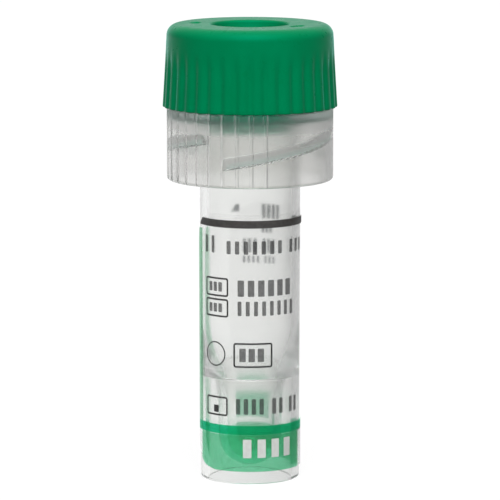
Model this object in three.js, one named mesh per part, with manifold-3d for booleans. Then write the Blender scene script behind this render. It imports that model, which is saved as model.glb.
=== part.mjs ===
// A capillary blood collection tube, closed. The clear tube is one moulding: a body with a round
// cup inside an open foot, and a collar with a three-start thread that takes a carrier tube.
// The green cap stands on the collar and its hollow plug seals the neck. A clear label goes
// round the body. Millimetres, +Z up; the origin is the middle of the ring that the tube stands
// on. Angles are in degrees from the front (-Y), growing towards +X.
import * as THREE from 'three';
import { mergeVertices } from 'three/addons/utils/BufferGeometryUtils.js';
import Module from 'manifold-3d';

const wasm = await Module();
wasm.setup();

// Body of the tube
const BODY_FOOT_RADIUS = 4.74;
const BODY_TOP_RADIUS = 4.85;
const BODY_WALL = 0.78;
const FOOT_EDGE_RADIUS = 0.2;

// Round cup that holds the sample, hung inside the open foot, and the funnel that leads into it
const CUP_OUTER_RADIUS = 3.06;
const CUP_WALL = 0.86;
const CUP_FLOOR_LIFT = 1.15;
const CUP_FLOOR_THICKNESS = 0.65;
const FOOT_HOLLOW_HEIGHT = 10.1;
const FOOT_HOLLOW_TOP_WIDTH = 0.5;
const CUP_TAPER_HEIGHT = 1.8;
const FUNNEL_HEIGHT = 4.8;

// Collar: a flange under the cap with a skirt that is open below
const COLLAR_RADIUS = 8.0;
const COLLAR_WALL = 0.72;
const COLLAR_BOTTOM = 29.0;
const COLLAR_EDGE_RADIUS = 0.45;
const FLANGE_TOP = 36.0;
const FLANGE_THICKNESS = 1.1;
const FLANGE_FILLET = 0.35;

// Thread inside the collar
const THREAD_STARTS = 3;
const THREAD_LEAD = 8.2;
const THREAD_SWEEP = 111;
const THREAD_START_ANGLE = -23;
const THREAD_LIFT = 1.65;
const THREAD_HEIGHT = 0.34;
const THREAD_WIDTH = 1.3;
const THREAD_RUN_OUT = 7;

// Grip grooves on the left half of the collar
const COLLAR_GROOVE_DEPTH = 0.15;
const COLLAR_GROOVE_TOOL = 0.3;
const COLLAR_GROOVE_FIRST = 11;
const COLLAR_GROOVE_SPAN = 190;

// Neck above the flange, cut at a slant as a collection scoop
const NECK_LOW = 2.6;
const NECK_HIGH = 5.3;

// Cap
const CAP_HEIGHT = 7.95;
const CAP_LOWER_RADIUS = 8.42;
const CAP_UPPER_RADIUS = 8.0;
const CAP_CORNER_RADIUS = 1.1;
const CAP_WALL = 1.05;
const CAP_TOP_THICKNESS = 1.4;
const CAP_INNER_FILLET = 0.5;
const CAP_SEAT_CLEARANCE = 0.05;

// Well in the cap, with the plug round it and a thin floor to pierce
const WELL_RADIUS = 3.74;
const WELL_RIM_RADIUS = 0.3;
const WELL_THROAT_RADIUS = 3.15;
const WELL_THROAT_DEPTH = 2.7;
const WELL_FLOOR_RADIUS = 3.0;
const WELL_FLOOR_LIFT = 0.8;
const WELL_FLOOR_THICKNESS = 0.5;
const WELL_FLOOR_FILLET = 0.4;
const PLUG_CLEARANCE = 0.06;
const PLUG_DEPTH = 2.2;
const PLUG_LIP = 0.3;
const PLUG_LIP_INNER_RADIUS = 3.3;
const PLUG_ROOT_THICKNESS = 0.8;
const PLUG_ROOT_RISE = 0.6;
const SLIT_WIDTH = 0.3;
const SLIT_LENGTH = 4.0;
const SLIT_DEPTH = 0.25;

// Grip grooves round the cap
const GRIP_PITCH = 10;
const CAP_GROOVE_DEPTH = 0.2;
const CAP_GROOVE_TOOL = 0.55;
const CAP_GROOVE_TOP_GAP = 1.9;

// Shallow marks in the cap's top
const MARK_CIRCLE_RADIUS = 5.3;
const MARK_ANGLES = [-98, 58];
const MARK_LENGTH = 2.2;
const MARK_WIDTH = 1.1;
const MARK_DEPTH = 0.15;

// Label round the body
const LABEL_BOTTOM = 1.25;
const LABEL_HEIGHT = 24.9;
const LABEL_THICKNESS = 0.08;
const LABEL_CLEARANCE = 0.02;
const LABEL_START_ANGLE = -85;
const LABEL_SWEEP = 293;
const LABEL_CORNER_RADIUS = 3.4;

const TURN = 360;
const TUBE_FACETS = 60;
const CAP_FACETS = 72;
const ARC_STEP = 30;
const CUT_MARGIN = 0.5;

const radians = THREE.MathUtils.degToRad;
const point = (radius, height) => new THREE.Vector2(radius, height);

// What follows from the sizes above
const flangeBottom = FLANGE_TOP - FLANGE_THICKNESS;
const bodyRadius = (z) => THREE.MathUtils.lerp(BODY_FOOT_RADIUS, BODY_TOP_RADIUS, z / flangeBottom);
const boreRadius = (z) => bodyRadius(z) - BODY_WALL;
const collarInnerRadius = COLLAR_RADIUS - COLLAR_WALL;
const capBottom = FLANGE_TOP + CAP_SEAT_CLEARANCE;
const capTop = capBottom + CAP_HEIGHT;
const capUnderside = capTop - CAP_TOP_THICKNESS;
const capCornerBottom = capTop - CAP_CORNER_RADIUS;
const capRadius = (z) => THREE.MathUtils.mapLinear(
  z, capBottom, capCornerBottom, CAP_LOWER_RADIUS, CAP_UPPER_RADIUS);
const plugBottom = FLANGE_TOP - PLUG_DEPTH;
const plugRadius = boreRadius(flangeBottom) - PLUG_CLEARANCE;

// Points of an arc in the section, from one angle to another, both ends included.
function arc(radius, height, size, from, to, step = ARC_STEP) {
  const count = Math.max(1, Math.round(Math.abs(to - from) / step));
  return Array.from({ length: count + 1 }, (_, i) => {
    const angle = radians(from + ((to - from) * i) / count);
    return point(radius + size * Math.cos(angle), height + size * Math.sin(angle));
  });
}

// A closed three.js geometry as a solid that can be joined and cut.
function solid(geometry) {
  const bare = geometry.clone();
  bare.deleteAttribute('normal');
  bare.deleteAttribute('uv');
  const merged = mergeVertices(bare);
  const index = merged.index.array;
  const triVerts = [];
  for (let i = 0; i < index.length; i += 3) {
    const [a, b, c] = index.slice(i, i + 3);
    if (a !== b && b !== c && c !== a) triVerts.push(a, b, c);
  }
  return new wasm.Manifold(new wasm.Mesh({
    numProp: 3,
    vertProperties: merged.attributes.position.array,
    triVerts: new Uint32Array(triVerts),
  }));
}

// A section turned round the Z axis.
function revolved(section, facets) {
  return solid(new THREE.LatheGeometry(section, facets).rotateX(Math.PI / 2));
}

// Moves each vertex of a flat layout onto the cylinder: place(x, y, z) gives its angle, radius
// and height.
function wrapped(geometry, place) {
  const position = geometry.attributes.position;
  for (let i = 0; i < position.count; i += 1) {
    const { angle, radius, height } = place(position.getX(i), position.getY(i), position.getZ(i));
    position.setXYZ(i, radius * Math.sin(radians(angle)), -radius * Math.cos(radians(angle)), height);
  }
  return solid(geometry);
}

// A round cutter along the outside of a wall, from a low point to a high point of the section,
// at one angle round the axis.
function grooveCutter(low, high, toolRadius, angle) {
  const along = high.clone().sub(low);
  const middle = low.clone().add(high).multiplyScalar(0.5);
  const tool = new THREE.CylinderGeometry(toolRadius, toolRadius, along.length(), 10);
  tool.rotateX(Math.PI / 2).rotateX(Math.atan2(along.x, along.y));
  tool.translate(0, -middle.x, middle.y).rotateZ(radians(angle));
  return solid(tool);
}

function named(name, manifold, material) {
  const faces = manifold.getMesh();
  const geometry = new THREE.BufferGeometry();
  geometry.setAttribute('position', new THREE.BufferAttribute(faces.vertProperties, 3));
  geometry.setIndex(new THREE.BufferAttribute(faces.triVerts, 1));
  const mesh = new THREE.Mesh(geometry.toNonIndexed(), material);
  mesh.geometry.computeVertexNormals();
  mesh.name = name;
  return mesh;
}

// ---- tube ----

function tubeSection() {
  const cupCentre = CUP_FLOOR_LIFT + CUP_OUTER_RADIUS;
  const cupInnerRadius = CUP_OUTER_RADIUS - CUP_WALL;
  const cupInside = CUP_FLOOR_LIFT + CUP_FLOOR_THICKNESS + cupInnerRadius;
  const taperBottom = FOOT_HOLLOW_HEIGHT - CUP_TAPER_HEIGHT;
  const funnelTop = taperBottom + FUNNEL_HEIGHT;
  const neckTop = FLANGE_TOP + NECK_HIGH;
  const edge = FOOT_EDGE_RADIUS;
  return [
    ...arc(0, cupCentre, CUP_OUTER_RADIUS, -90, 0, 15),
    point(CUP_OUTER_RADIUS, taperBottom),
    point(boreRadius(FOOT_HOLLOW_HEIGHT) - FOOT_HOLLOW_TOP_WIDTH, FOOT_HOLLOW_HEIGHT),
    point(boreRadius(FOOT_HOLLOW_HEIGHT), FOOT_HOLLOW_HEIGHT),
    point(boreRadius(0), 0),
    ...arc(BODY_FOOT_RADIUS - edge, edge, edge, -90, 0),
    point(bodyRadius(flangeBottom), flangeBottom - FLANGE_FILLET),
    point(bodyRadius(flangeBottom) + FLANGE_FILLET, flangeBottom),
    point(collarInnerRadius - FLANGE_FILLET, flangeBottom),
    point(collarInnerRadius, flangeBottom - FLANGE_FILLET),
    point(collarInnerRadius, COLLAR_BOTTOM),
    ...arc(COLLAR_RADIUS - COLLAR_EDGE_RADIUS, COLLAR_BOTTOM + COLLAR_EDGE_RADIUS,
      COLLAR_EDGE_RADIUS, -90, 0),
    point(COLLAR_RADIUS, FLANGE_TOP),
    point(BODY_TOP_RADIUS, FLANGE_TOP),
    point(BODY_TOP_RADIUS, neckTop),
    point(boreRadius(flangeBottom), neckTop),
    point(boreRadius(flangeBottom), flangeBottom),
    point(boreRadius(funnelTop), funnelTop),
    point(cupInnerRadius, taperBottom),
    ...arc(0, cupInside, cupInnerRadius, 0, -90, 18),
  ];
}

function threadStart(index) {
  const ridge = new THREE.Shape([
    point(-COLLAR_WALL / 2, -THREAD_HEIGHT / 2),
    point(0, -THREAD_HEIGHT / 2),
    point(THREAD_HEIGHT, 0),
    point(THREAD_HEIGHT, THREAD_HEIGHT / 2),
    point(0, THREAD_WIDTH),
    point(-COLLAR_WALL / 2, THREAD_WIDTH),
  ]);
  const steps = Math.ceil(THREAD_SWEEP / (THREAD_RUN_OUT / 1.2));
  const flat = new THREE.ExtrudeGeometry(ridge, { depth: THREAD_SWEEP, steps, bevelEnabled: false });
  const start = THREAD_START_ANGLE + (TURN / THREAD_STARTS) * index;
  const low = COLLAR_BOTTOM + THREAD_LIFT;
  return wrapped(flat, (inward, up, sweep) => {
    const fromEnd = Math.min(sweep, THREAD_SWEEP - sweep);
    const fade = Math.min(1, 0.15 + fromEnd / THREAD_RUN_OUT);
    return {
      angle: start + sweep,
      radius: collarInnerRadius - (inward > 0 ? inward * fade : inward),
      height: low + up + (THREAD_LEAD * sweep) / TURN,
    };
  });
}

function scoopCutter() {
  const size = 4 * BODY_TOP_RADIUS;
  const slant = Math.atan2(NECK_HIGH - NECK_LOW, 2 * BODY_TOP_RADIUS);
  const middle = FLANGE_TOP + (NECK_HIGH + NECK_LOW) / 2;
  const block = new THREE.BoxGeometry(size, size, size).translate(0, 0, size / 2);
  return solid(block.rotateX(slant).translate(0, 0, middle));
}

function tube() {
  let made = revolved(tubeSection(), TUBE_FACETS).subtract(scoopCutter());
  for (let start = 0; start < THREAD_STARTS; start += 1) made = made.add(threadStart(start));
  const reach = COLLAR_RADIUS + COLLAR_GROOVE_TOOL - COLLAR_GROOVE_DEPTH;
  const grooveCount = Math.floor(COLLAR_GROOVE_SPAN / GRIP_PITCH) + 1;
  for (let groove = 0; groove < grooveCount; groove += 1) {
    made = made.subtract(grooveCutter(
      point(reach, COLLAR_BOTTOM - CUT_MARGIN), point(reach, FLANGE_TOP + CUT_MARGIN),
      COLLAR_GROOVE_TOOL, COLLAR_GROOVE_FIRST - GRIP_PITCH * groove));
  }
  return made;
}

// ---- cap ----

function capSection() {
  const wellFloor = plugBottom + WELL_FLOOR_LIFT + WELL_FLOOR_THICKNESS;
  const plugRootRadius = WELL_RADIUS + PLUG_ROOT_THICKNESS;
  const plugRootBottom = FLANGE_TOP + NECK_HIGH + CAP_SEAT_CLEARANCE;
  const innerRadius = (z) => capRadius(z) - CAP_WALL;
  const fillet = CAP_INNER_FILLET;
  return [
    point(0, plugBottom + WELL_FLOOR_LIFT),
    point(WELL_FLOOR_RADIUS, plugBottom + WELL_FLOOR_LIFT),
    point(PLUG_LIP_INNER_RADIUS, plugBottom),
    point(plugRadius - PLUG_LIP, plugBottom),
    point(plugRadius, plugBottom + PLUG_LIP),
    point(plugRadius, plugRootBottom),
    point(plugRootRadius, plugRootBottom + PLUG_ROOT_RISE),
    point(plugRootRadius, capUnderside),
    ...arc(innerRadius(capUnderside) - fillet, capUnderside - fillet, fillet, 90, 0),
    point(innerRadius(capBottom), capBottom),
    point(CAP_LOWER_RADIUS, capBottom),
    ...arc(CAP_UPPER_RADIUS - CAP_CORNER_RADIUS, capCornerBottom, CAP_CORNER_RADIUS, 0, 90, 18),
    ...arc(WELL_RADIUS + WELL_RIM_RADIUS, capTop - WELL_RIM_RADIUS, WELL_RIM_RADIUS, 90, 180),
    point(WELL_THROAT_RADIUS, capTop - WELL_THROAT_DEPTH),
    ...arc(WELL_FLOOR_RADIUS - WELL_FLOOR_FILLET, wellFloor + WELL_FLOOR_FILLET,
      WELL_FLOOR_FILLET, 0, -90),
    point(0, wellFloor),
  ];
}

// Two crossed grooves in the floor of the well, where a needle or pipette goes through.
function slitCutter() {
  const wellFloor = plugBottom + WELL_FLOOR_LIFT + WELL_FLOOR_THICKNESS;
  const slit = new THREE.BoxGeometry(SLIT_LENGTH, SLIT_WIDTH, 2 * SLIT_DEPTH);
  slit.translate(0, 0, wellFloor);
  return solid(slit.clone().rotateZ(radians(45))).add(solid(slit.clone().rotateZ(radians(-45))));
}

function markCutter(angle) {
  const mark = new THREE.CylinderGeometry(MARK_WIDTH / 2, MARK_WIDTH / 2, 2 * MARK_DEPTH, 16);
  mark.scale(1, 1, MARK_LENGTH / MARK_WIDTH).rotateX(Math.PI / 2).rotateZ(Math.PI / 2);
  mark.translate(0, -MARK_CIRCLE_RADIUS, capTop).rotateZ(radians(angle));
  return solid(mark);
}

function cap() {
  let made = revolved(capSection(), CAP_FACETS).subtract(slitCutter());
  for (const angle of MARK_ANGLES) made = made.subtract(markCutter(angle));
  const low = point(CAP_LOWER_RADIUS + CAP_GROOVE_TOOL - CAP_GROOVE_DEPTH, capBottom);
  const grooveTop = capTop - CAP_GROOVE_TOP_GAP;
  const high = point(capRadius(grooveTop) + CAP_GROOVE_TOOL, grooveTop);
  const margin = high.clone().sub(low).setLength(CUT_MARGIN);
  for (let angle = 0; angle < TURN; angle += GRIP_PITCH) {
    made = made.subtract(grooveCutter(
      low.clone().sub(margin), high.clone().add(margin), CAP_GROOVE_TOOL, angle));
  }
  return made;
}

// ---- label ----

function label() {
  const arcLength = (sweep) => radians(sweep) * BODY_TOP_RADIUS;
  const flat = new THREE.BoxGeometry(
    LABEL_SWEEP, LABEL_HEIGHT, LABEL_THICKNESS, LABEL_SWEEP / 5, 1, 1);
  return wrapped(flat, (across, up, out) => {
    const fromEnd = arcLength(LABEL_SWEEP / 2 - Math.abs(across));
    const short = Math.max(0, LABEL_CORNER_RADIUS - fromEnd);
    const drop = LABEL_CORNER_RADIUS - Math.sqrt(LABEL_CORNER_RADIUS ** 2 - short ** 2);
    const height = LABEL_BOTTOM + LABEL_HEIGHT / 2 + up - Math.sign(up) * drop;
    return {
      angle: LABEL_START_ANGLE + LABEL_SWEEP / 2 + across,
      radius: bodyRadius(height) + LABEL_CLEARANCE + LABEL_THICKNESS / 2 + out,
      height,
    };
  });
}

// ---- the object ----

const clearPlastic = new THREE.MeshStandardMaterial({
  color: 0xe4e5e3, roughness: 0.12, metalness: 0, transparent: true, opacity: 0.35,
});
const greenPlastic = new THREE.MeshStandardMaterial({ color: 0x007c4b, roughness: 0.38, metalness: 0 });
const clearFilm = new THREE.MeshStandardMaterial({
  color: 0xdfe9e3, roughness: 0.2, metalness: 0, transparent: true, opacity: 0.6,
});

const bloodTube = new THREE.Group();
bloodTube.add(
  named('tube', tube(), clearPlastic),
  named('cap', cap(), greenPlastic),
  named('label', label(), clearFilm),
);

export default bloodTube;
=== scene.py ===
"""Looks of a capillary blood collection tube: clear moulded tube, green cap, clear printed label.

Sections are in millimetres, as (radius, height) points, and are turned round the Z axis. Angles are
in degrees from the front (-Y), growing towards +X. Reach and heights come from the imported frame.
"""
import math

import bmesh
import bpy
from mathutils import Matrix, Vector
from mathutils.geometry import tessellate_polygon


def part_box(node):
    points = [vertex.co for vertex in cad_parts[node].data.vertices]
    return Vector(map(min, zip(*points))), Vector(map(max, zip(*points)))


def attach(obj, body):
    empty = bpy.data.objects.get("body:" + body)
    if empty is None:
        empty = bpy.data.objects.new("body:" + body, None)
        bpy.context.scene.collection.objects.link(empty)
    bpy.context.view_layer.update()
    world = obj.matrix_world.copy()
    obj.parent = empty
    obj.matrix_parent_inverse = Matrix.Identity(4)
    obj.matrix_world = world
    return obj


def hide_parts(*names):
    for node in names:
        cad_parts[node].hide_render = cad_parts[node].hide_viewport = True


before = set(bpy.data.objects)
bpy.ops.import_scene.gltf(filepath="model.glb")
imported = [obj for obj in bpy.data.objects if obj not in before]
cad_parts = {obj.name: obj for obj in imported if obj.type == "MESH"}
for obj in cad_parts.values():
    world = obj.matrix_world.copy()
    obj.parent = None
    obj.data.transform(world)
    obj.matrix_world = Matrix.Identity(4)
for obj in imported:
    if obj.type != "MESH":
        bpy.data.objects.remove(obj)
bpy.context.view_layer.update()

MM = 0.001


def in_mm(corner):
    return [value / MM for value in corner]


_, tube_high = map(in_mm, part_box("tube"))
cap_low, cap_high = map(in_mm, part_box("cap"))
label_low, label_high = map(in_mm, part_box("label"))

# ---- sizes of the tube, in mm ----

BODY_FOOT_RADIUS = 4.74
BODY_TOP_RADIUS = 4.85
BODY_TOP = 34.9
BODY_WALL = 0.78
FOOT_EDGE_RADIUS = 0.2
FOOT_INNER_EDGE_RADIUS = 0.1
CUP_OUTER_RADIUS = 3.06
CUP_WALL = 0.86
CUP_FLOOR_LIFT = 1.15
CUP_FLOOR_THICKNESS = 0.65
FOOT_HOLLOW_HEIGHT = 10.1
FOOT_HOLLOW_TOP_WIDTH = 0.5
FOOT_HOLLOW_FILLET = 0.24
CUP_TAPER_HEIGHT = 1.8
CUP_TAPER_BLEND = 1.2
FUNNEL_HEIGHT = 4.8
FUNNEL_BLEND = 2.4
COLLAR_RADIUS = tube_high[0]
COLLAR_WALL = 0.72
COLLAR_BOTTOM = 29.0
COLLAR_EDGE_RADIUS = 0.36
COLLAR_INNER_EDGE_RADIUS = 0.2
COLLAR_TOP_BEVEL = 0.08
FLANGE_TOP = 36.0
FLANGE_THICKNESS = 0.75
FLANGE_FILLET = 0.35
NECK_LOW = 2.6
NECK_HIGH = tube_high[2] - FLANGE_TOP
NECK_EDGE_RADIUS = 0.15
NECK_ROOT_BEVEL = 0.1

THREAD_STARTS = 3
THREAD_LEAD = 8.2
THREAD_SWEEP = 111
THREAD_START_ANGLE = -23
THREAD_LIFT = 1.65
THREAD_HEIGHT = 0.34
THREAD_WIDTH = 1.3
THREAD_FLANK = 0.07
THREAD_RUN_OUT = 7

GROOVE_PITCH = 10
COLLAR_GROOVE_DEPTH = 0.15
COLLAR_GROOVE_TOOL = 0.19
COLLAR_GROOVE_FIRST = 11
COLLAR_GROOVE_COUNT = 20

# ---- sizes of the cap, in mm; FLAT, FLANK and RUN_IN are shares ----

CAP_LOWER_RADIUS = cap_high[0]
CAP_UPPER_RADIUS = 8.0
CAP_CORNER_RADIUS = 1.1
CAP_BOTTOM_EDGE = 0.12
CAP_WALL = 1.05
CAP_TOP_THICKNESS = 1.4
CAP_INNER_FILLET = 0.5
CAP_SEAT_CLEARANCE = 0.05
WELL_RADIUS = 3.74
WELL_RIM_RADIUS = 0.3
WELL_THROAT_RADIUS = 3.15
WELL_THROAT_DEPTH = 2.7
WELL_WALL_INSET = 0.05
WELL_WALL_START = 0.6
WELL_FLOOR_RADIUS = 3.0
WELL_FLOOR_LIFT = 0.8
WELL_FLOOR_THICKNESS = 0.5
WELL_FLOOR_FILLET = 0.4
WELL_UNDERSIDE_BEVEL = (0.2, 0.1)
PLUG_CLEARANCE = 0.06
PLUG_LIP = 0.3
PLUG_LIP_INNER_RADIUS = 3.3
PLUG_LIP_INNER_BEVEL = (0.05, 0.08)
PLUG_LIP_SHOULDER = (0.06, 0.1)
PLUG_ROOT_CLEARANCE = 0.05
PLUG_ROOT_THICKNESS = 0.8
PLUG_ROOT_RISE = 0.6
SLIT_WIDTH = 0.3
SLIT_LENGTH = 4.0
SLIT_DEPTH = 0.25
SLIT_ANGLE = 45
SLIT_FLANK = 0.5
CAP_GROOVE_DEPTH = 0.2
CAP_GROOVE_REACH = 0.6
CAP_GROOVE_TOP_GAP = 1.9
CAP_GROOVE_RUN_IN = 2.2
MARK_CIRCLE_RADIUS = 5.3
MARK_ANGLES = (-98, 58)
MARK_LENGTH = 2.2
MARK_WIDTH = 1.1
MARK_DEPTH = 0.15
MARK_FLAT = 0.8
MARK_FLANK = 0.25

# ---- sizes of the label and its ink, in mm ----

LABEL_BOTTOM = label_low[2]
LABEL_TOP = label_high[2]
LABEL_THICKNESS = 0.08
LABEL_CLEARANCE = 0.02
LABEL_START_ANGLE = -85
LABEL_SWEEP = 293
LABEL_END_ANGLE = LABEL_START_ANGLE + LABEL_SWEEP
LABEL_CORNER_RADIUS = 3.4
INK_LIFT = 0.012
INK_THICKNESS = 0.012
INK_MARGIN = 0.05

# ---- how finely the curves are drawn: steps in degrees, pitches in mm ----

FILLET_STEP = 15
SMALL_FILLET_STEP = 18
BEVEL_STEP = 30
SHOULDER_STEP = 7.5
CUP_STEP = 5
CUP_INSIDE_STEP = 6
TUBE_ANGLE_STEP = 2
COLLAR_GROOVE_OFFSETS = (0, 0.35, 0.7, 0.95, 1.15, 1.32, 1.7)
CAP_ANGLE_STEP = 0.625
WALL_PITCH = 4
HOLLOW_PITCH = 3
COLLAR_PITCH = 1
THREAD_PITCH = 0.07
CAP_WALL_PITCH = 0.45
CAP_TOP_PITCH = 0.12
WELL_WALL_PITCH = 0.6
WELL_FLOOR_PITCH = 0.09
FUNNEL_STEPS = 12

# ---- where the walls' rows of points begin and end: heights and margins, in mm ----

BODY_ROWS = (2, 33)
BORE_ROWS = (33, 17)
HOLLOW_ROWS = (9, FOOT_INNER_EDGE_RADIUS)
THREAD_MARGIN = 0.1
COLLAR_ROWS_START = 1
COLLAR_ROWS_GAP = 0.1
CAP_ROWS_START = 0.4
CAP_TOP_MARGIN = 0.1
WELL_FLOOR_MARGIN = 0.05
WELL_CENTRE_RADIUS = 0.06

flange_bottom = FLANGE_TOP - FLANGE_THICKNESS
cap_bottom = FLANGE_TOP + CAP_SEAT_CLEARANCE
cap_top = cap_high[2]
plug_bottom = cap_low[2]
cap_corner_bottom = cap_top - CAP_CORNER_RADIUS


def mix(low, high, share):
    return low + (high - low) * share


def smooth_step(share):
    share = min(1.0, max(0.0, share))
    return share * share * (3 - 2 * share)


def body_radius(height):
    return mix(BODY_FOOT_RADIUS, BODY_TOP_RADIUS, height / BODY_TOP)


def bore_radius(height):
    return body_radius(height) - BODY_WALL


def on_body(height):
    return body_radius(height), height


def on_bore(height):
    return bore_radius(height), height


def cap_radius(height):
    share = (height - cap_bottom) / (cap_corner_bottom - cap_bottom)
    return mix(CAP_LOWER_RADIUS, CAP_UPPER_RADIUS, share)


# ---- turned solids ----

def ring(radius, height, bend=None):
    """One point of a section; bend(angle, radius, height) gives its own radius and height there."""
    return (radius, height, bend)


def arc(radius, height, size, start, end, step=FILLET_STEP, bend=None):
    """Points of a round stretch about a centre, from one angle to another above the level."""
    count = max(1, round(abs(end - start) / step))
    angles = [math.radians(mix(start, end, i / count)) for i in range(count + 1)]
    return [ring(radius + size * math.cos(a), height + size * math.sin(a), bend) for a in angles]


def rows(low, high, pitch, bend=None):
    """Evenly spaced points of a section between two (radius, height) ends, both ends included."""
    count = max(1, round(math.dist(low, high) / pitch))
    return [ring(mix(low[0], high[0], i / count), mix(low[1], high[1], i / count), bend)
            for i in range(count + 1)]


def elbow(before, at, after, reach, steps=6):
    """A rounded corner of a section, from that reach before the corner to the same reach after it."""
    def toward(end):
        share = reach / math.dist(at, end)
        return mix(at[0], end[0], share), mix(at[1], end[1], share)

    first, last = toward(before), toward(after)
    points = []
    for i in range(steps + 1):
        share = i / steps
        radius, height = (mix(mix(a, b, share), mix(b, c, share), share)
                          for a, b, c in zip(first, at, last))
        points.append(ring(radius, height))
    return points


def turned(name, section, angles, crease=38):
    """A closed solid: the section, whose first and last points lie on the axis, turned round Z."""
    grid = bmesh.new()
    levels = []
    for radius, height, bend in section:
        if radius < 1e-6:
            levels.append([grid.verts.new(Vector((0, 0, height)) * MM)])
            continue
        level = []
        for angle in angles:
            r, z = bend(angle, radius, height) if bend else (radius, height)
            turn = math.radians(angle)
            level.append(grid.verts.new(Vector((r * math.sin(turn), -r * math.cos(turn), z)) * MM))
        levels.append(level)
    for low, high in zip(levels, levels[1:]):
        for i in range(len(angles)):
            j = (i + 1) % len(angles)
            if len(low) == 1:
                grid.faces.new((low[0], high[j], high[i]))
            elif len(high) == 1:
                grid.faces.new((low[i], low[j], high[0]))
            else:
                grid.faces.new((low[i], low[j], high[j], high[i]))
    return mesh_object(name, grid, crease)


def mesh_object(name, grid, crease):
    bmesh.ops.recalc_face_normals(grid, faces=grid.faces)
    mesh = bpy.data.meshes.new(name)
    grid.to_mesh(mesh)
    grid.free()
    mesh.shade_smooth()
    mesh.set_sharp_from_angle(angle=math.radians(crease))
    made = bpy.data.objects.new(name, mesh)
    bpy.context.scene.collection.objects.link(made)
    return made


def angle_list(step, grooves=(), fine=()):
    """Angles all round in even steps, with the fine offsets about each groove in their place."""
    reach = max(fine, default=0) + step / 3
    plain = [i * step - 180 for i in range(round(360 / step))]
    kept = [a for a in plain if all(abs((a - g + 180) % 360 - 180) > reach for g in grooves)]
    near = [(g + sign * f + 180) % 360 - 180 for g in grooves for f in fine for sign in (1, -1)]
    return sorted({round(a, 4) for a in kept + near})


def groove_depth(angle, radius, centres, depth, tool):
    """How deep a round tool of that radius has cut at this angle."""
    offset = min(abs((angle - c + 180) % 360 - 180) for c in centres)
    across = math.radians(offset) * radius
    if across >= tool:
        return 0.0
    return max(0.0, depth - tool + math.sqrt(tool * tool - across * across))


# ---- tube ----

COLLAR_GROOVES = [COLLAR_GROOVE_FIRST - GROOVE_PITCH * i for i in range(COLLAR_GROOVE_COUNT)]


def collar_outside(angle, radius, height):
    depth = groove_depth(angle, COLLAR_RADIUS, COLLAR_GROOVES, COLLAR_GROOVE_DEPTH, COLLAR_GROOVE_TOOL)
    return min(radius, COLLAR_RADIUS - depth), height


def thread_rise(angle, height):
    """How far the thread stands in from the collar's wall."""
    rise = 0.0
    for start in range(THREAD_STARTS):
        first = THREAD_START_ANGLE + 360 / THREAD_STARTS * start
        sweep = (angle - first) % 360
        if sweep > THREAD_SWEEP:
            continue
        up = height - (COLLAR_BOTTOM + THREAD_LIFT + THREAD_LEAD * sweep / 360)
        lower = smooth_step((up + THREAD_FLANK) / THREAD_FLANK)
        upper = 1 - smooth_step((up - THREAD_HEIGHT / 2) / (THREAD_WIDTH - THREAD_HEIGHT / 2))
        fade = smooth_step(min(sweep, THREAD_SWEEP - sweep) / THREAD_RUN_OUT)
        rise = max(rise, THREAD_HEIGHT * fade * min(lower, upper))
    return rise


def collar_inside(angle, radius, height):
    return radius - thread_rise(angle, height), height


def scoop_rim(angle, radius, height):
    """The neck's rim, cut at a slant: low at the front and high at the back."""
    back = -math.cos(math.radians(angle)) * radius
    slant = mix(NECK_LOW, NECK_HIGH, (back / BODY_TOP_RADIUS + 1) / 2)
    return radius, height - NECK_HIGH + slant


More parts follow.
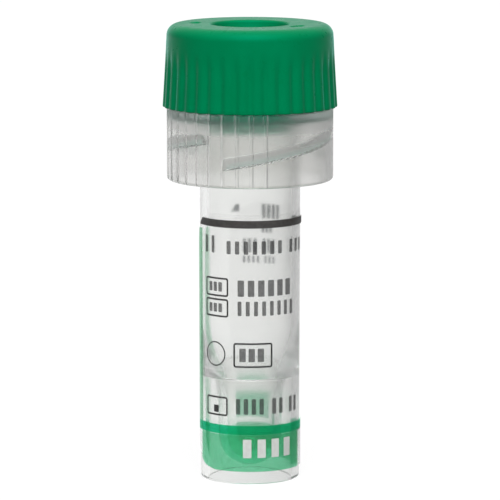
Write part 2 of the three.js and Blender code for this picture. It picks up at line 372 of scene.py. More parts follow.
def tube_section():
    """From the underside of the cup over the foot, the collar and the neck to the floor of the cup."""
    cup_centre = CUP_FLOOR_LIFT + CUP_OUTER_RADIUS
    cup_inner = CUP_OUTER_RADIUS - CUP_WALL
    cup_inside = CUP_FLOOR_LIFT + CUP_FLOOR_THICKNESS + cup_inner
    hollow_wall = on_bore(FOOT_HOLLOW_HEIGHT)
    hollow_root = (hollow_wall[0] - FOOT_HOLLOW_TOP_WIDTH, FOOT_HOLLOW_HEIGHT)
    taper_bottom = FOOT_HOLLOW_HEIGHT - CUP_TAPER_HEIGHT
    taper = (CUP_OUTER_RADIUS, taper_bottom)
    funnel_bottom = (cup_inner, taper_bottom)
    funnel_top = on_bore(taper_bottom + FUNNEL_HEIGHT)
    fillet_height = flange_bottom - FLANGE_FILLET
    collar_inner = COLLAR_RADIUS - COLLAR_WALL
    bore_top = on_bore(flange_bottom)
    foot_lip, edge, lip = FOOT_INNER_EDGE_RADIUS, COLLAR_EDGE_RADIUS, COLLAR_INNER_EDGE_RADIUS
    thread_top, thread_bottom = fillet_height - THREAD_MARGIN, COLLAR_BOTTOM + lip + THREAD_MARGIN
    collar_low, collar_high = COLLAR_BOTTOM + COLLAR_ROWS_START, FLANGE_TOP - COLLAR_ROWS_GAP
    rim = NECK_EDGE_RADIUS
    rim_height = FLANGE_TOP + NECK_HIGH - rim
    return [
        *arc(0, cup_centre, CUP_OUTER_RADIUS, -90, 0, CUP_STEP),
        *elbow((CUP_OUTER_RADIUS, cup_centre), taper, hollow_root, CUP_TAPER_BLEND),
        *elbow(taper, hollow_root, hollow_wall, FOOT_HOLLOW_FILLET),
        *elbow(hollow_root, hollow_wall, on_bore(0), FOOT_HOLLOW_FILLET),
        *rows(*map(on_bore, HOLLOW_ROWS), HOLLOW_PITCH),
        *arc(bore_radius(0) + foot_lip, foot_lip, foot_lip, 180, 270, BEVEL_STEP),
        *arc(BODY_FOOT_RADIUS - FOOT_EDGE_RADIUS, FOOT_EDGE_RADIUS, FOOT_EDGE_RADIUS, -90, 0,
             SMALL_FILLET_STEP),
        *rows(*map(on_body, BODY_ROWS), WALL_PITCH),
        *arc(body_radius(flange_bottom) + FLANGE_FILLET, fillet_height, FLANGE_FILLET, 180, 90),
        *arc(collar_inner - FLANGE_FILLET, fillet_height, FLANGE_FILLET, 90, 0),
        *rows((collar_inner, thread_top), (collar_inner, thread_bottom), THREAD_PITCH, collar_inside),
        *arc(collar_inner + lip, COLLAR_BOTTOM + lip, lip, 180, 270, SMALL_FILLET_STEP),
        *arc(COLLAR_RADIUS - edge, COLLAR_BOTTOM + edge, edge, -90, 0, bend=collar_outside),
        *rows((COLLAR_RADIUS, collar_low), (COLLAR_RADIUS, collar_high), COLLAR_PITCH, collar_outside),
        ring(COLLAR_RADIUS - COLLAR_TOP_BEVEL, FLANGE_TOP, collar_outside),
        ring(BODY_TOP_RADIUS + NECK_ROOT_BEVEL, FLANGE_TOP),
        ring(BODY_TOP_RADIUS, FLANGE_TOP + NECK_ROOT_BEVEL),
        *arc(BODY_TOP_RADIUS - rim, rim_height, rim, 0, 90, BEVEL_STEP, scoop_rim),
        *arc(bore_top[0] + rim, rim_height, rim, 90, 180, BEVEL_STEP, scoop_rim),
        ring(*bore_top),
        *rows(*map(on_bore, BORE_ROWS), WALL_PITCH),
        *elbow(bore_top, funnel_top, funnel_bottom, FUNNEL_BLEND, FUNNEL_STEPS),
        *elbow(funnel_top, funnel_bottom, (cup_inner, cup_inside), FUNNEL_BLEND, FUNNEL_STEPS),
        *arc(0, cup_inside, cup_inner, 0, -90, CUP_INSIDE_STEP),
    ]


def make_tube():
    angles = angle_list(TUBE_ANGLE_STEP, COLLAR_GROOVES, COLLAR_GROOVE_OFFSETS)
    return turned("tube_shell", tube_section(), angles)


# ---- cap ----

CAP_GROOVES = [GROOVE_PITCH * i for i in range(360 // GROOVE_PITCH)]


def cap_outside(angle, radius, height):
    groove_top = cap_top - CAP_GROOVE_TOP_GAP
    share = (groove_top - height) / (groove_top - cap_bottom)
    if share <= 0:
        return radius, height
    depth = CAP_GROOVE_DEPTH * smooth_step(CAP_GROOVE_RUN_IN * share)
    offset = min(abs((angle - c + 180) % 360 - 180) for c in CAP_GROOVES)
    return radius - depth * (1 - smooth_step(math.radians(offset) * radius / CAP_GROOVE_REACH)), height


def cap_marks(angle, radius, height):
    """Two shallow oval dents in the flat top."""
    sunk = 0.0
    for centre in MARK_ANGLES:
        turn = math.radians(angle - centre)
        along = radius * math.sin(turn) / (MARK_LENGTH / 2)
        out = (radius * math.cos(turn) - MARK_CIRCLE_RADIUS) / (MARK_WIDTH / 2)
        if math.cos(turn) > 0:
            sunk = max(sunk, 1 - smooth_step((math.hypot(along, out) - MARK_FLAT) / MARK_FLANK))
    return radius, height - MARK_DEPTH * sunk


def slits(angle, radius, height):
    """Two crossed grooves in the floor of the well, where a needle or pipette goes through."""
    turn = math.radians(angle - SLIT_ANGLE)
    across, along = radius * math.cos(turn), radius * math.sin(turn)
    sunk = 0.0
    for side, length in ((across, along), (along, across)):
        if abs(length) < SLIT_LENGTH / 2:
            sunk = max(sunk, 1 - smooth_step(abs(side) / (SLIT_WIDTH / 2) - SLIT_FLANK))
    return radius, height - SLIT_DEPTH * sunk


def cap_section():
    """From the underside of the well's floor over the plug, the wall and the top to the floor."""
    floor_underside = plug_bottom + WELL_FLOOR_LIFT
    well_floor = floor_underside + WELL_FLOOR_THICKNESS
    underside_width, underside_height = WELL_UNDERSIDE_BEVEL
    lip_width, lip_height = PLUG_LIP_INNER_BEVEL
    shoulder_width, shoulder_height = PLUG_LIP_SHOULDER
    underside = cap_top - CAP_TOP_THICKNESS
    plug_radius = bore_radius(flange_bottom) - PLUG_CLEARANCE
    root_radius = WELL_RADIUS + PLUG_ROOT_THICKNESS
    root_bottom = FLANGE_TOP + NECK_HIGH + PLUG_ROOT_CLEARANCE
    inner_top, inner_bottom = cap_radius(underside) - CAP_WALL, cap_radius(cap_bottom) - CAP_WALL
    edge = CAP_BOTTOM_EDGE
    wall_low, wall_high = cap_bottom + CAP_ROWS_START, cap_top - CAP_GROOVE_TOP_GAP
    corner_centre = CAP_UPPER_RADIUS - CAP_CORNER_RADIUS
    rim_radius = WELL_RADIUS + WELL_RIM_RADIUS
    well_wall = (WELL_RADIUS - WELL_WALL_INSET, cap_top - WELL_WALL_START)
    floor_reach = WELL_FLOOR_RADIUS - WELL_FLOOR_FILLET
    return [
        ring(0, floor_underside),
        ring(WELL_FLOOR_RADIUS - underside_width, floor_underside),
        ring(WELL_FLOOR_RADIUS, floor_underside - underside_height),
        ring(PLUG_LIP_INNER_RADIUS - lip_width, plug_bottom + lip_height),
        ring(PLUG_LIP_INNER_RADIUS, plug_bottom),
        ring(plug_radius - PLUG_LIP, plug_bottom),
        ring(plug_radius - shoulder_width, plug_bottom + PLUG_LIP - shoulder_height),
        ring(plug_radius, plug_bottom + PLUG_LIP),
        ring(plug_radius, root_bottom),
        ring(root_radius, root_bottom + PLUG_ROOT_RISE),
        ring(root_radius, underside),
        *arc(inner_top - CAP_INNER_FILLET, underside - CAP_INNER_FILLET, CAP_INNER_FILLET, 90, 0),
        ring(inner_bottom, cap_bottom + edge),
        ring(inner_bottom + edge, cap_bottom),
        *arc(CAP_LOWER_RADIUS - edge, cap_bottom + edge, edge, -90, 0, BEVEL_STEP, cap_outside),
        *rows((cap_radius(wall_low), wall_low), (cap_radius(wall_high), wall_high),
              CAP_WALL_PITCH, cap_outside),
        *arc(corner_centre, cap_corner_bottom, CAP_CORNER_RADIUS, 0, 90, SHOULDER_STEP),
        *rows((corner_centre - CAP_TOP_MARGIN, cap_top), (rim_radius + CAP_TOP_MARGIN, cap_top),
              CAP_TOP_PITCH, cap_marks),
        *arc(rim_radius, cap_top - WELL_RIM_RADIUS, WELL_RIM_RADIUS, 90, 180),
        *rows(well_wall, (WELL_THROAT_RADIUS, cap_top - WELL_THROAT_DEPTH), WELL_WALL_PITCH),
        *arc(floor_reach, well_floor + WELL_FLOOR_FILLET, WELL_FLOOR_FILLET, 0, -90, SMALL_FILLET_STEP),
        *rows((floor_reach - WELL_FLOOR_MARGIN, well_floor), (WELL_CENTRE_RADIUS, well_floor),
              WELL_FLOOR_PITCH, slits),
        ring(0, well_floor - SLIT_DEPTH),
    ]


def make_cap():
    count = round(360 / CAP_ANGLE_STEP)
    return turned("cap_shell", cap_section(), [i * CAP_ANGLE_STEP - 180 for i in range(count)])


# ---- label and print ----

LABEL_RADIUS = BODY_TOP_RADIUS
FRAME_LINE = 0.17
RING_LINE = 0.12
SLICE_WIDTH = 0.25
PRINT_CREASE = 40
CORNER_STEP = 10
RING_STEP = 6
FIELD_PITCH = 0.3
FRAME_CORNER = 0.25
FRAME_INNER_CORNER = 0.05
BLOCK_CORNER = 0.08
WORD_SPACE = 0.7


def along(angle):
    """Arc length round the label from the front, in mm."""
    return math.radians(angle) * LABEL_RADIUS


def rounded(left, right, low, high, radius=0.0):
    """Corner points of a rectangle on the label; left and right are arc lengths."""
    if radius <= 0:
        return [(left, low), (right, low), (right, high), (left, high)]
    corners = ((right - radius, low + radius, -90), (right - radius, high - radius, 0),
               (left + radius, high - radius, 90), (left + radius, low + radius, 180))
    return [(x + radius * math.cos(math.radians(start + step)),
             y + radius * math.sin(math.radians(start + step)))
            for x, y, start in corners for step in range(0, 91, CORNER_STEP)]


def wrapped(name, shapes, lift, thickness):
    """Flat shapes, each an outer loop with any holes, as a thin closed solid round the body."""
    grid = bmesh.new()
    for loops in shapes:
        flat = [Vector((x, y, 0)) for loop in loops for x, y in loop]
        faces = tessellate_polygon([[Vector((x, y, 0)) for x, y in loop] for loop in loops])
        low = [grid.verts.new((p.x, p.y, 0)) for p in flat]
        high = [grid.verts.new((p.x, p.y, 1)) for p in flat]
        for a, b, c in faces:
            grid.faces.new((high[a], high[b], high[c]))
            grid.faces.new((low[c], low[b], low[a]))
        first = 0
        for loop in loops:
            count = len(loop)
            for i in range(count):
                a, b = first + i, first + (i + 1) % count
                grid.faces.new((low[a], low[b], high[b], high[a]))
            first += count
    reach = [v.co.x for v in grid.verts]
    cut = math.ceil(min(reach) / SLICE_WIDTH) * SLICE_WIDTH
    while cut < max(reach):
        bmesh.ops.bisect_plane(grid, geom=grid.verts[:] + grid.edges[:] + grid.faces[:], dist=1e-5,
                               plane_co=(cut, 0, 0), plane_no=(1, 0, 0))
        cut += SLICE_WIDTH
    for vert in grid.verts:
        turn = vert.co.x / LABEL_RADIUS
        radius = body_radius(vert.co.y) + lift + thickness * vert.co.z
        vert.co = Vector((radius * math.sin(turn), -radius * math.cos(turn), vert.co.y)) * MM
    return mesh_object(name, grid, PRINT_CREASE)


label_left = along(LABEL_START_ANGLE)
label_right = along(LABEL_END_ANGLE)
ink_lift = LABEL_CLEARANCE + LABEL_THICKNESS + INK_LIFT


def make_label():
    outline = rounded(label_left, label_right, LABEL_BOTTOM, LABEL_TOP, LABEL_CORNER_RADIUS)
    return wrapped("label_film", [[outline]], LABEL_CLEARANCE, LABEL_THICKNESS)


def edge_inset(height):
    """How far the label's rounded corners draw its ends in at this height."""
    into = max(LABEL_BOTTOM + LABEL_CORNER_RADIUS - height,
               height - LABEL_TOP + LABEL_CORNER_RADIUS, 0)
    return LABEL_CORNER_RADIUS - math.sqrt(max(0, LABEL_CORNER_RADIUS ** 2 - into * into))


def field(start, end, low, high):
    """A field of print between two angles, kept inside the label's outline."""
    count = math.ceil((high - low) / FIELD_PITCH)
    heights = [mix(low, high, i / count) for i in range(count + 1)]
    lefts = [(max(along(start), label_left + edge_inset(z) + INK_MARGIN), z) for z in heights]
    rights = [(min(along(end), label_right - edge_inset(z) - INK_MARGIN), z) for z in heights]
    return [lefts + rights[::-1]]


def frame_shape(start, end, low, high):
    """A rounded box outline between two angles: the outer loop and the hole."""
    left, right, line = along(start), along(end), FRAME_LINE
    inner_corner = max(FRAME_INNER_CORNER, FRAME_CORNER - line)
    return [rounded(left, right, low, high, FRAME_CORNER),
            rounded(left + line, right - line, low + line, high - line, inner_corner)]


def ring_shape(angle, height, radius):
    """A circle on the label: the outer loop and the hole."""
    turns = [math.radians(a) for a in range(0, 360, RING_STEP)]
    return [[(along(angle) + r * math.cos(turn), height + r * math.sin(turn)) for turn in turns]
            for r in (radius, radius - RING_LINE)]


def row(start, end, low, high, words, gap=0.3):
    """Plain blocks in place of lettering, in words of so many blocks, spread between two angles."""
    left, right = along(start), along(end)
    unit = (right - left) / (sum(words) + WORD_SPACE * (len(words) - 1))
    shapes = []
    for count in words:
        for _ in range(count):
            shapes.append([rounded(left, left + unit * (1 - gap), low, high, BLOCK_CORNER)])
            left += unit
        left += WORD_SPACE * unit
    return shapes


def printed(name, shapes, layer=0):
    """Print on the label; each further layer lies just over the one below."""
    return wrapped(name, shapes, ink_lift + layer * (INK_LIFT + INK_THICKNESS), INK_THICKNESS)


# ---- where the clear plastic changes, in mm: reaches from the axis, and heights above the foot ----

COLLAR_REACH = (6, 6.8)
FLANGE_REACH = (5, 5.4)
FLANGE_HEIGHT = (34.8, 35.4)
HAZY_TOP_HEIGHT = (33.6, 34.8)
BAND_REACH = (3.2, 3.4)
BAND_HEIGHT = (4.5, 4.9)
CREST_REACH = (6.3, 6.6)
CREST_END_REACH = (6.95, 7.06)
THREAD_REACH = (6.2, 6.6)
THREAD_END_REACH = (7.18, 7.26)
CUP_REACH = (4.15, 4.3)
CUP_HEIGHT = (7.5, 9)
FUNNEL_END_HEIGHT = (12.5, 15)

# ---- the same for the inside of the cap ----

CAVITY_REACH = (3.35, 3.5)
CAVITY_END_REACH = (7.4, 7.5)
CAVITY_HEIGHT = (41.8, 42)

# ---- colours, haze and grain: haze as roughness, grain in waves per metre, bumps in mm ----

CLEAR = (0.99, 0.995, 0.985)
# painted shade: the collar's grey stands for the light it loses through its extra walls
COLLAR_PAINTED_SHADE = (0.9, 0.9, 0.885)
# painted reflection: the cap's green mirrored in the clear flange under it
FLANGE_PAINTED_REFLECTION = (0.8, 0.89, 0.86)
# painted light: the printed band's green as it shows in the clear cup behind it
CUP_PAINTED_BAND_LIGHT = (0.28, 0.84, 0.64)
# painted shade with a green cast, which dims the highlight along the thread's crest
CREST_PAINTED_SHADE = (0.8, 0.92, 0.88)
INSIDE_GREY = (0.5, 0.52, 0.48)
INSIDE_DENSITY = 10
BODY_HAZE = 0.02
COLLAR_HAZE = 0.18
TOP_HAZE = 0.2
CUP_HAZE = 0.17
CUP_LOW_SHARE = 0.3
FUNNEL_TOP_SHARE = 0.55
THREAD_HAZE = 0.55
UNEVEN_HAZE = 0.05
CLEAR_GRAIN = 900
CLEAR_WAVES = 260
CLEAR_BUMP = 0.02

CAP_GREENS = ((0.0, 0.165, 0.058), (0.0, 0.19, 0.07))
CAVITY_GREEN = (0.03, 0.7, 0.42)
CAP_GLOSS_TINT = (0.0, 1.0, 0.8)
CAP_SHEEN_TINT = (0.1, 1.0, 0.75)
CAP_PATCHES = 180
CAP_GRAIN = 1400
CAP_BUMP_GRAIN = 5200
CAP_BUMP = 0.012

FILM_GREY = (0.85, 0.86, 0.85)
FILM_GRAIN = 700
FILM_WAVES = 240
FILM_BUMP = 0.03
INK_GRAIN = 2600


# ---- materials ----

def material(name):
    made = bpy.data.materials.new(name)
    made.use_nodes = True
    return made, made.node_tree, made.node_tree.nodes["Principled BSDF"]


def noise(tree, scale, detail=3, stretch=(1, 1, 1)):
    """Noise in the piece's own coordinates; scale is in waves per metre."""
    nodes, links = tree.nodes, tree.links
    place = nodes.new("ShaderNodeTexCoord")
    size = nodes.new("ShaderNodeMapping")
    size.inputs["Scale"].default_value = stretch
    made = nodes.new("ShaderNodeTexNoise")
    made.inputs["Scale"].default_value = scale
    made.inputs["Detail"].default_value = detail
    links.new(place.outputs["Object"], size.inputs["Vector"])
    links.new(size.outputs["Vector"], made.inputs["Vector"])
    return made.outputs["Fac"]


def ramp(tree, value, near, far, low, high, kind="LINEAR"):
    """Maps a value from near to far to low to high, and holds it beyond them."""
    made = tree.nodes.new("ShaderNodeMapRange")
    made.interpolation_type = kind
    made.inputs["From Min"].default_value = near
    made.inputs["From Max"].default_value = far
    made.inputs["To Min"].default_value = low
    made.inputs["To Max"].default_value = high
    tree.links.new(value, made.inputs["Value"])
    return made.outputs["Result"]


def spread(tree, value, low, high):
    """Maps the usual reach of a noise value to low to high."""
    return ramp(tree, value, 0.3, 0.7, low, high)


def bumps(tree, shader, value, height, strength=1.0):
    """Bumps of a height in mm."""
    made = tree.nodes.new("ShaderNodeBump")
    made.inputs["Distance"].default_value = height * MM
    made.inputs["Strength"].default_value = strength
    tree.links.new(value, made.inputs["Height"])
    tree.links.new(made.outputs["Normal"], shader.inputs["Normal"])


def from_axis(tree, reach, low=0, high=1):
    """Maps the distance from the tube's axis, over a reach in mm, to low to high."""
    nodes, links = tree.nodes, tree.links
    place = nodes.new("ShaderNodeTexCoord")
    flat = nodes.new("ShaderNodeVectorMath")
    flat.operation = "MULTIPLY"
    flat.inputs[1].default_value = (1, 1, 0)
    length = nodes.new("ShaderNodeVectorMath")
    length.operation = "LENGTH"
    links.new(place.outputs["Object"], flat.inputs[0])
    links.new(flat.outputs["Vector"], length.inputs[0])
    return ramp(tree, length.outputs["Value"], *(r * MM for r in reach), low, high)


def from_foot(tree, heights, low=0, high=1):
    """Maps the height above the foot, between two heights in mm, to low to high."""
    place = tree.nodes.new("ShaderNodeTexCoord")
    split = tree.nodes.new("ShaderNodeSeparateXYZ")
    tree.links.new(place.outputs["Object"], split.inputs["Vector"])
    return ramp(tree, split.outputs["Z"], *(h * MM for h in heights), low, high)


def combined(tree, operation, first, second):
    """A Math node over two values, the second of them a node's output or a plain number."""
    made = tree.nodes.new("ShaderNodeMath")
    made.operation = operation
    tree.links.new(first, made.inputs[0])
    if isinstance(second, float):
        made.inputs[1].default_value = second
    else:
        tree.links.new(second, made.inputs[1])
    return made.outputs["Value"]


def added(tree, first, second):
    return combined(tree, "ADD", first, second)


def times(tree, first, second):
    return combined(tree, "MULTIPLY", first, second)


def larger(tree, first, second):
    return combined(tree, "MAXIMUM", first, second)


def light_path(tree, *rays):
    """1 for a ray of any of these kinds, otherwise 0."""
    path = tree.nodes.new("ShaderNodeLightPath")
    value = path.outputs[rays[0]]
    for kind in rays[1:]:
        value = larger(tree, value, path.outputs[kind])
    return value


def blend(tree, first, second, value):
    """Goes from one colour to another as the value goes from 0 to 1."""
    tone = tree.nodes.new("ShaderNodeMix")
    tone.data_type = "RGBA"
    for socket, colour in (("A", first), ("B", second)):
        if isinstance(colour, tuple):
            tone.inputs[socket].default_value = (*colour, 1)
        else:
            tree.links.new(colour, tone.inputs[socket])
    tree.links.new(value, tone.inputs["Factor"])
    return tone.outputs["Result"]


def two_tone(tree, light, dark, grain, detail=3):
    """Two shades of one colour that drift into each other."""
    return blend(tree, light, dark, spread(tree, noise(tree, grain, detail), 0, 1))


def clear_plastic():
    """Clear moulded plastic. The collar is hazier, and greyer by painted shade; the cup and funnel are hazy
    too. Painted light tints the flange with a painted reflection of the cap's green, the cup behind the
    printed band with the band's green, and the thread's crest with a green-cast painted shade that dims its
    highlight."""
    made, tree, shader = material("clear_polypropylene")
    # where the painted reflection of the cap's green lies on the flange
    flange = times(tree, from_axis(tree, FLANGE_REACH), from_foot(tree, FLANGE_HEIGHT))
    # where the band's green is painted into the clear cup behind it
    behind_band = times(tree, from_axis(tree, BAND_REACH, 1, 0), from_foot(tree, BAND_HEIGHT, 1, 0))
    # where the painted shade darkens the thread's crest
    crest = times(tree, from_axis(tree, CREST_REACH), from_axis(tree, CREST_END_REACH, 1, 0))
    # painted shade: the collar is greyed for the light lost through its extra walls
    tone = blend(tree, CLEAR, COLLAR_PAINTED_SHADE, from_axis(tree, COLLAR_REACH))
    for colour, place in ((FLANGE_PAINTED_REFLECTION, flange), (CUP_PAINTED_BAND_LIGHT, behind_band), (CREST_PAINTED_SHADE, crest)):
        tone = blend(tree, tone, colour, place)
    tree.links.new(tone, shader.inputs["Base Color"])
    shader.inputs["Transmission Weight"].default_value = 0.99
    shader.inputs["IOR"].default_value = 1.5

    cup = times(tree, from_axis(tree, CUP_REACH, CUP_HAZE, 0), from_foot(tree, CUP_HEIGHT, CUP_LOW_SHARE, 1))
    cup = times(tree, cup, from_foot(tree, FUNNEL_END_HEIGHT, 1, FUNNEL_TOP_SHARE))
    thread = times(tree, from_axis(tree, THREAD_REACH), from_axis(tree, THREAD_END_REACH, THREAD_HAZE, 0))
    haze = from_axis(tree, COLLAR_REACH, BODY_HAZE, COLLAR_HAZE)
    uneven = spread(tree, noise(tree, CLEAR_GRAIN), 0, UNEVEN_HAZE)
    for more in (from_foot(tree, HAZY_TOP_HEIGHT, 0, TOP_HAZE), cup, thread, uneven):
        haze = added(tree, haze, more)
    tree.links.new(haze, shader.inputs["Roughness"])
    bumps(tree, shader, noise(tree, CLEAR_WAVES, 2, (1, 1, 0.35)), CLEAR_BUMP)

    inside = tree.nodes.new("ShaderNodeVolumeAbsorption")
    inside.inputs["Color"].default_value = (*INSIDE_GREY, 1)
    inside.inputs["Density"].default_value = INSIDE_DENSITY
    tree.links.new(inside.outputs["Volume"], tree.nodes["Material Output"].inputs["Volume"])
    return made


def green_plastic():
    """Green moulded plastic. Its hollow inside is brighter, for the light that comes through the wall."""
    made, tree, shader = material("green_polyethylene")
    cavity = times(tree, from_axis(tree, CAVITY_REACH), from_axis(tree, CAVITY_END_REACH, 1, 0))
    cavity = times(tree, cavity, from_foot(tree, CAVITY_HEIGHT, 1, 0))
    moulded = two_tone(tree, *CAP_GREENS, CAP_PATCHES)
    tree.links.new(blend(tree, moulded, CAVITY_GREEN, cavity), shader.inputs["Base Color"])
    shader.inputs["IOR"].default_value = 1.2
    shader.inputs["Specular IOR Level"].default_value = 0.55
    shader.inputs["Specular Tint"].default_value = (*CAP_GLOSS_TINT, 1)
    shader.inputs["Sheen Weight"].default_value = 0.4
    shader.inputs["Sheen Roughness"].default_value = 0.3
    shader.inputs["Sheen Tint"].default_value = (*CAP_SHEEN_TINT, 1)
    tree.links.new(spread(tree, noise(tree, CAP_GRAIN), 0.26, 0.38), shader.inputs["Roughness"])
    bumps(tree, shader, noise(tree, CAP_BUMP_GRAIN, 4), CAP_BUMP, 0.3)
    return made


def clear_film():
    made, tree, shader = material("clear_film")
    shader.inputs["Base Color"].default_value = (*FILM_GREY, 1)
    shader.inputs["Alpha"].default_value = 0.05
    tree.links.new(spread(tree, noise(tree, FILM_GRAIN), 0.12, 0.25), shader.inputs["Roughness"])
    bumps(tree, shader, noise(tree, FILM_WAVES, 2), FILM_BUMP)
    return made


def solid_ink(name, light, dark, alpha):
    made, tree, shader = material(name)
    tree.links.new(two_tone(tree, light, dark, INK_GRAIN, 4), shader.inputs["Base Color"])
    shader.inputs["Roughness"].default_value = 0.45
    shader.inputs["Specular IOR Level"].default_value = 0.2
    shader.inputs["Alpha"].default_value = alpha
    return made


def clear_ink(name, light, dark, clear):
    """Ink that lets light through and colours it."""
    made, tree, shader = material(name)
    tree.links.new(two_tone(tree, light, dark, INK_GRAIN, 4), shader.inputs["Base Color"])
    shader.inputs["Transmission Weight"].default_value = clear
    shader.inputs["IOR"].default_value = 1.05
    shader.inputs["Roughness"].default_value = 0.1
    return made


def finish(piece, look, body, slot, *nodes):
    piece.data.materials.append(look)
    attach(piece, body)
    if nodes:
        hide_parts(*nodes)
    return piece


# ---- the object ----

clear = clear_plastic()
green = green_plastic()
film = clear_film()
dark_ink = solid_ink("dark_ink", (0.03, 0.03, 0.03), (0.05, 0.05, 0.05), 0.85)
bar_ink = solid_ink("bar_ink", (0.05, 0.048, 0.045), (0.075, 0.07, 0.068), 0.85)
row_ink = solid_ink("row_ink", (0.05, 0.05, 0.05), (0.08, 0.08, 0.08), 0.57)
pale_ink = solid_ink("pale_ink", (0.2, 0.22, 0.26), (0.26, 0.28, 0.32), 0.6)
white_ink = solid_ink("white_ink", (0.66, 0.67, 0.65), (0.74, 0.75, 0.73), 0.8)
green_ink = clear_ink("green_ink", (0.2, 0.64, 0.4), (0.26, 0.69, 0.46), 0.9)
light_green_ink = clear_ink("light_green_ink", (0.36, 0.66, 0.47), (0.42, 0.7, 0.51), 0.9)
deep_green_ink = clear_ink("deep_green_ink", (0.02, 0.56, 0.3), (0.04, 0.61, 0.34), 0.85)

finish(make_tube(), clear, "tube_body", "tube_plastic", "tube")
finish(make_cap(), green, "cap_body", "cap_plastic", "cap")
finish(make_label(), film, "tube_body", "label_film", "label")

# Angles from the front and heights above the foot, from low to high.
BAND_END_ANGLE = 95
fields = [
    field(LABEL_START_ANGLE, BAND_END_ANGLE, LABEL_BOTTOM, 4.8),
    field(BAND_END_ANGLE, LABEL_END_ANGLE, LABEL_BOTTOM, 4.6),
    field(136, LABEL_END_ANGLE, 5.05, 7.3),
]
frames = [
    frame_shape(-58, -25, 18.17, 20.0),
    frame_shape(-58, -25, 16.18, 17.96),
    frame_shape(-19, 26, 11.38, 13.78),
    frame_shape(-57, -26, 6.58, 8.46),
    ring_shape(-43, 12.58, 1.2),
    [rounded(along(-45), along(-38), 6.9, 7.6, 0.1)],
]
text_rows = [
    *row(-59, -37, 22.34, 24.01, (2,), 0.6),
    *row(-27, 80, 22.34, 23.6, (7, 3), 0.5),
    *row(-14, 55, 18.27, 19.84, (6,), 0.36),
    *row(-14, 60, 16.4, 17.8, (8,), 0.52),
    *row(-52, -31, 18.65, 19.55, (3,)),
    *row(-52, -31, 16.65, 17.5, (3,)),
    *row(-12, 19, 11.95, 13.25, (3,)),
    *row(-16, 68, 6.84, 8.35, (4, 2, 2), 0.45),
]
fill_mark = ((193.7, 25.26), (205, 25.26), (199.5, 25.97), (193.7, 25.97))
back_marks = [
    [[(along(angle), height) for angle, height in fill_mark]],
    *row(138, 167, 24.6, 26.0, (4,)),
    *row(150, 167, 23.2, 23.7, (3,)),
    *row(146, 192, 21.2, 22.6, (3, 3), 0.4),
    *row(146, 192, 20.2, 20.9, (3, 4), 0.45),
]
white_marks = row(-8, 58, 2.6, 4.4, (4,), 0.42)

PRINT = {
    "label_bar": ([field(-85, 88, 24.85, 25.58)], bar_ink),
    "label_fields": (fields, green_ink),
    "label_strip": ([field(LABEL_START_ANGLE, -68, 5.75, 24.5)], light_green_ink),
    "label_line": ([field(LABEL_START_ANGLE, BAND_END_ANGLE, 4.83, 5.72)], deep_green_ink),
    "label_frames": (frames, dark_ink),
    "label_rows": (text_rows, row_ink),
    "label_back": (back_marks, pale_ink),
}
for name, (shapes, look) in PRINT.items():
    finish(printed(name, shapes), look, "tube_body", "label_film")
finish(printed("label_white", white_marks, 1), white_ink, "tube_body", "label_film")

# ---- stage, light and camera: metres, degrees and lamp watts ----

BACKDROP_TOWARD = (-0.6, 1, 0)
BACKDROP_FULL, BACKDROP_END = 25, 50
SIDE_SHARE = 0.48
FLOOR_THROUGH = 0.76
SKY_THROUGH = 0.92
FLOOR_SEEN = 0.88
FLOOR_GREY = (0.12, 0.12, 0.12)
FLOOR_SHIFT = (0, 0.05, 0)
FLOOR_RADIUS = 1.4
ZENITH_END = 72
ZENITH_LOW, ZENITH_HIGH = 0.1, 0.95
PATCH_TOWARD = (0, -0.5, 0.5)
PATCH_FULL, PATCH_END = 12, 40
PATCH_STRENGTH = 4.1
HORIZON_TOWARD = (0, 1, 0.2)
HORIZON_FULL, HORIZON_END = 15, 50
HORIZON_STRENGTH = 0.65
KEY_PLACE = (0, -0.4, 0.5)
KEY_SIZE = 0.6
KEY_POWER = 1.1
KEY_AIM_HEIGHT = 0.024
CAMERA_LENS = 308.2
CAMERA_DISTANCE = 0.4128
CAMERA_ELEVATION = 8.3
CAMERA_AIM_HEIGHT = 0.02208
CAMERA_CLIP = (0.02, 10)
BOUNCES = 32


def glow(tree, vector, toward, full, end, low, high):
    """High where the vector points within full degrees of a direction, and low beyond end degrees."""
    unit = tree.nodes.new("ShaderNodeVectorMath")
    unit.operation = "NORMALIZE"
    across = tree.nodes.new("ShaderNodeVectorMath")
    across.operation = "DOT_PRODUCT"
    across.inputs[1].default_value = Vector(toward).normalized()
    tree.links.new(vector, unit.inputs[0])
    tree.links.new(unit.outputs["Vector"], across.inputs[0])
    near, far = (math.cos(math.radians(angle)) for angle in (full, end))
    return ramp(tree, across.outputs["Value"], far, near, low, high, "SMOOTHSTEP")


def backdrop(tree, vector, high):
    """How bright the studio is in a level direction: full behind the object, less at its sides."""
    level = tree.nodes.new("ShaderNodeVectorMath")
    level.operation = "MULTIPLY"
    level.inputs[1].default_value = (1, 1, 0)
    tree.links.new(vector, level.inputs[0])
    return glow(tree, level.outputs["Vector"], BACKDROP_TOWARD, BACKDROP_FULL, BACKDROP_END,
                high * SIDE_SHARE, high)


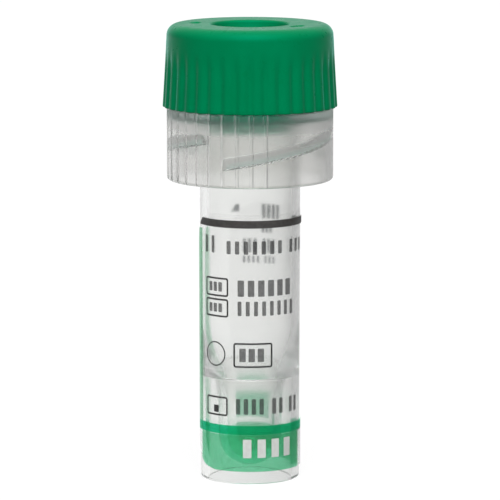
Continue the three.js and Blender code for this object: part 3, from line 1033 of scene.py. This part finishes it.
def floor_material():
    """White floor, which shows through the plastic as a backdrop that is brightest behind it."""
    made, tree, shader = material("white_floor")
    shader.inputs["Base Color"].default_value = (*FLOOR_GREY, 1)
    shader.inputs["Roughness"].default_value = 0.9
    shader.inputs["Specular IOR Level"].default_value = 0
    shader.inputs["Emission Color"].default_value = (1, 1, 1, 1)
    place = tree.nodes.new("ShaderNodeVectorMath")
    place.operation = "ADD"
    place.inputs[1].default_value = FLOOR_SHIFT
    tree.links.new(tree.nodes.new("ShaderNodeTexCoord").outputs["Object"], place.inputs[0])
    through = times(tree, light_path(tree, "Is Glossy Ray", "Is Transmission Ray"),
                    backdrop(tree, place.outputs["Vector"], FLOOR_THROUGH))
    seen = times(tree, light_path(tree, "Is Camera Ray"), FLOOR_SEEN)
    tree.links.new(added(tree, through, seen), shader.inputs["Emission Strength"])
    return made


def make_floor():
    grid = bmesh.new()
    bmesh.ops.create_circle(grid, cap_ends=True, radius=FLOOR_RADIUS, segments=96)
    mesh = bpy.data.meshes.new("floor")
    grid.to_mesh(mesh)
    grid.free()
    floor = bpy.data.objects.new("floor", mesh)
    bpy.context.scene.collection.objects.link(floor)
    floor.data.materials.append(floor_material())


def make_world():
    """A plain sky, bright overhead and in a wide soft patch above the front. It is white where it is
    seen, and a backdrop where it shows through the plastic. Gloss also mirrors a pale horizon."""
    world = bpy.data.worlds.new("studio")
    bpy.context.scene.world = world
    world.use_nodes = True
    tree = world.node_tree
    back = tree.nodes["Background"]
    back.inputs["Color"].default_value = (1, 1, 1, 1)
    place = tree.nodes.new("ShaderNodeTexCoord").outputs["Generated"]
    sky = added(tree, glow(tree, place, (0, 0, 1), 0, ZENITH_END, ZENITH_LOW, ZENITH_HIGH),
                glow(tree, place, PATCH_TOWARD, PATCH_FULL, PATCH_END, 0, PATCH_STRENGTH))
    horizon = glow(tree, place, HORIZON_TOWARD, HORIZON_FULL, HORIZON_END, 0, HORIZON_STRENGTH)
    sky = added(tree, sky, times(tree, light_path(tree, "Is Glossy Ray"), horizon))
    through = times(tree, light_path(tree, "Is Transmission Ray"), backdrop(tree, place, SKY_THROUGH))
    seen = added(tree, through, light_path(tree, "Is Camera Ray"))
    tree.links.new(larger(tree, sky, seen), back.inputs["Strength"])


def make_key_light():
    """One wide soft light above the front, aimed at the middle of the tube."""
    lamp = bpy.data.lights.new("key", "AREA")
    lamp.shape = "DISK"
    lamp.size = KEY_SIZE
    lamp.energy = KEY_POWER
    made = bpy.data.objects.new("key", lamp)
    bpy.context.scene.collection.objects.link(made)
    made.location = KEY_PLACE
    aim = Vector((0, 0, KEY_AIM_HEIGHT)) - Vector(KEY_PLACE)
    made.rotation_euler = aim.to_track_quat("-Z", "Y").to_euler()


def make_camera():
    lens = bpy.data.cameras.new("camera")
    lens.lens = CAMERA_LENS
    lens.clip_start, lens.clip_end = CAMERA_CLIP
    made = bpy.data.objects.new("camera", lens)
    bpy.context.scene.collection.objects.link(made)
    elevation, aim = math.radians(CAMERA_ELEVATION), Vector((0, 0, CAMERA_AIM_HEIGHT))
    made.location = aim + Vector((0, -math.cos(elevation), math.sin(elevation))) * CAMERA_DISTANCE
    made.rotation_euler = (aim - made.location).to_track_quat("-Z", "Y").to_euler()
    bpy.context.scene.camera = made


make_floor()
make_world()
make_key_light()
make_camera()

scene = bpy.context.scene
scene.view_settings.view_transform = "Standard"
scene.cycles.max_bounces = BOUNCES
scene.cycles.glossy_bounces = BOUNCES
scene.cycles.transmission_bounces = BOUNCES
scene.cycles.transparent_max_bounces = BOUNCES
